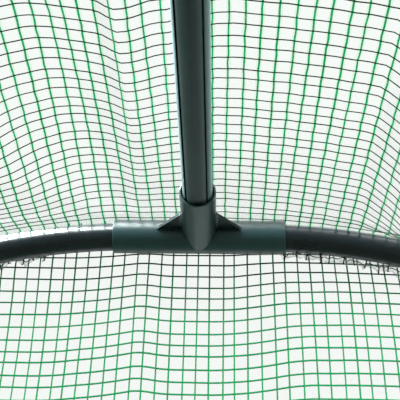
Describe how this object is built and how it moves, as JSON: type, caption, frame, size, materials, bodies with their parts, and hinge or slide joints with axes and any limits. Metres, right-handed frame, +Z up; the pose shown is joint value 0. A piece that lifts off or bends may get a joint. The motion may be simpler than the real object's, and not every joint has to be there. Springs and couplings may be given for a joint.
{
  "type": "walk-in tunnel greenhouse",
  "caption": "Walk-in garden greenhouse: push-fit steel tube hoops and moulded connectors under a clear green-scrim cover, with a zipped roll-up door and roll-up screened windows.",
  "frame": {"origin": "on the ground at the middle of the footprint, centred between the four corner anchor holes", "axes": "+X across the width to the right as seen from the door, +Y along the ridge from the door end to the plain rear end, +Z up"},
  "size_m": [2.238, 2.238, 2.188],
  "materials": {
    "steel_tube": "powder coat, semi-gloss dark slate green",
    "connector_plastic": "moulded, fine satin texture",
    "cover_film": "clear polyethylene film, slightly hazy, reinforced with a green woven grid",
    "scrim_thread": "flat woven tape threads, bright green along the ridge and darker across",
    "webbing": "woven polypropylene",
    "insect_screen": "fine mesh netting",
    "zip_tape": "woven tape with moulded chain",
    "zip_metal": "black lacquered zinc alloy",
    "peg_steel": "zinc plated wire"
  },
  "bodies": {
    "frame": {"front_ridge_tube": "steel_tube", "rear_ridge_tube": "steel_tube", "front_left_rafter": "steel_tube", "front_right_rafter": "steel_tube", "middle_left_rafter": "steel_tube", "middle_right_rafter": "steel_tube", "rear_left_rafter": "steel_tube", "rear_right_rafter": "steel_tube", "front_left_leg": "steel_tube", "front_right_leg": "steel_tube", "middle_left_leg": "steel_tube", "middle_right_leg": "steel_tube", "rear_left_leg": "steel_tube", "rear_right_leg": "steel_tube", "front_left_waist_rail": "steel_tube", "front_right_waist_rail": "steel_tube", "rear_left_waist_rail": "steel_tube", "rear_right_waist_rail": "steel_tube", "front_left_ground_rail": "steel_tube", "front_right_ground_rail": "steel_tube", "rear_left_ground_rail": "steel_tube", "rear_right_ground_rail": "steel_tube", "front_sill_rail": "steel_tube", "rear_sill_rail": "steel_tube", "front_ridge_tee": "connector_plastic", "middle_ridge_cross": "connector_plastic", "rear_ridge_tee": "connector_plastic", "front_left_waist_tee": "connector_plastic", "front_right_waist_tee": "connector_plastic", "rear_left_waist_tee": "connector_plastic", "rear_right_waist_tee": "connector_plastic", "middle_left_waist_cross": "connector_plastic", "middle_right_waist_cross": "connector_plastic", "front_left_base_corner": "connector_plastic", "front_right_base_corner": "connector_plastic", "rear_left_base_corner": "connector_plastic", "rear_right_base_corner": "connector_plastic", "middle_left_base_tee": "connector_plastic", "middle_right_base_tee": "connector_plastic", "roof_cover": "cover_film", "rear_wall": "cover_film", "front_wall": "cover_film", "door_flap": "cover_film", "ground_skirt": "cover_film", "window_flaps": "cover_film", "left_door_zip": "zip_tape", "right_door_zip": "zip_tape", "window_screens": "insect_screen", "ground_pegs": "peg_steel", "frame_ties": "webbing", "tie_straps": "webbing"},
    "door_roll": {"door_roll": "cover_film"},
    "left_zip_slider": {"left_zip_slider": "zip_metal"},
    "right_zip_slider": {"right_zip_slider": "zip_metal"},
    "left_zip_pull": {"left_zip_pull": "zip_metal"},
    "right_zip_pull": {"right_zip_pull": "zip_metal"},
    "front_left_window_roll": {"front_left_window_roll": "cover_film"},
    "front_right_window_roll": {"front_right_window_roll": "cover_film"},
    "rear_left_window_roll": {"rear_left_window_roll": "cover_film"},
    "rear_right_window_roll": {"rear_right_window_roll": "cover_film"}
  },
  "joints": [
    {"name": "door_roll_up", "type": "slide", "parent": "frame", "child": "door_roll", "axis": [0, 0, 1], "range_m": [0, 1.59]},
    {"name": "left_zip_run", "type": "slide", "parent": "frame", "child": "left_zip_slider", "axis": [0, 0, 1], "range_m": [0, 1.59]},
    {"name": "left_pull_swing", "type": "hinge", "parent": "left_zip_slider", "child": "left_zip_pull", "pos_m": [-0.498, -1.0082, 0.076], "axis": [-1, 0, 0], "range_deg": [0, 170]},
    {"name": "right_zip_run", "type": "slide", "parent": "frame", "child": "right_zip_slider", "axis": [0, 0, 1], "range_m": [0, 1.59]},
    {"name": "right_pull_swing", "type": "hinge", "parent": "right_zip_slider", "child": "right_zip_pull", "pos_m": [0.498, -1.0082, 0.076], "axis": [-1, 0, 0], "range_deg": [0, 170]},
    {"name": "front_left_window_roll_up", "type": "slide", "parent": "frame", "child": "front_left_window_roll", "axis": [0, 0, 1], "range_m": [0, 0.68]},
    {"name": "front_right_window_roll_up", "type": "slide", "parent": "frame", "child": "front_right_window_roll", "axis": [0, 0, 1], "range_m": [0, 0.68]},
    {"name": "rear_left_window_roll_up", "type": "slide", "parent": "frame", "child": "rear_left_window_roll", "axis": [0, 0, 1], "range_m": [0, 0.68]},
    {"name": "rear_right_window_roll_up", "type": "slide", "parent": "frame", "child": "rear_right_window_roll", "axis": [0, 0, 1], "range_m": [0, 0.68]}
  ],
  "couplings": [
    {"joint": "left_zip_run", "follows": "door_roll_up", "ratio": 1},
    {"joint": "right_zip_run", "follows": "door_roll_up", "ratio": 1}
  ]
}
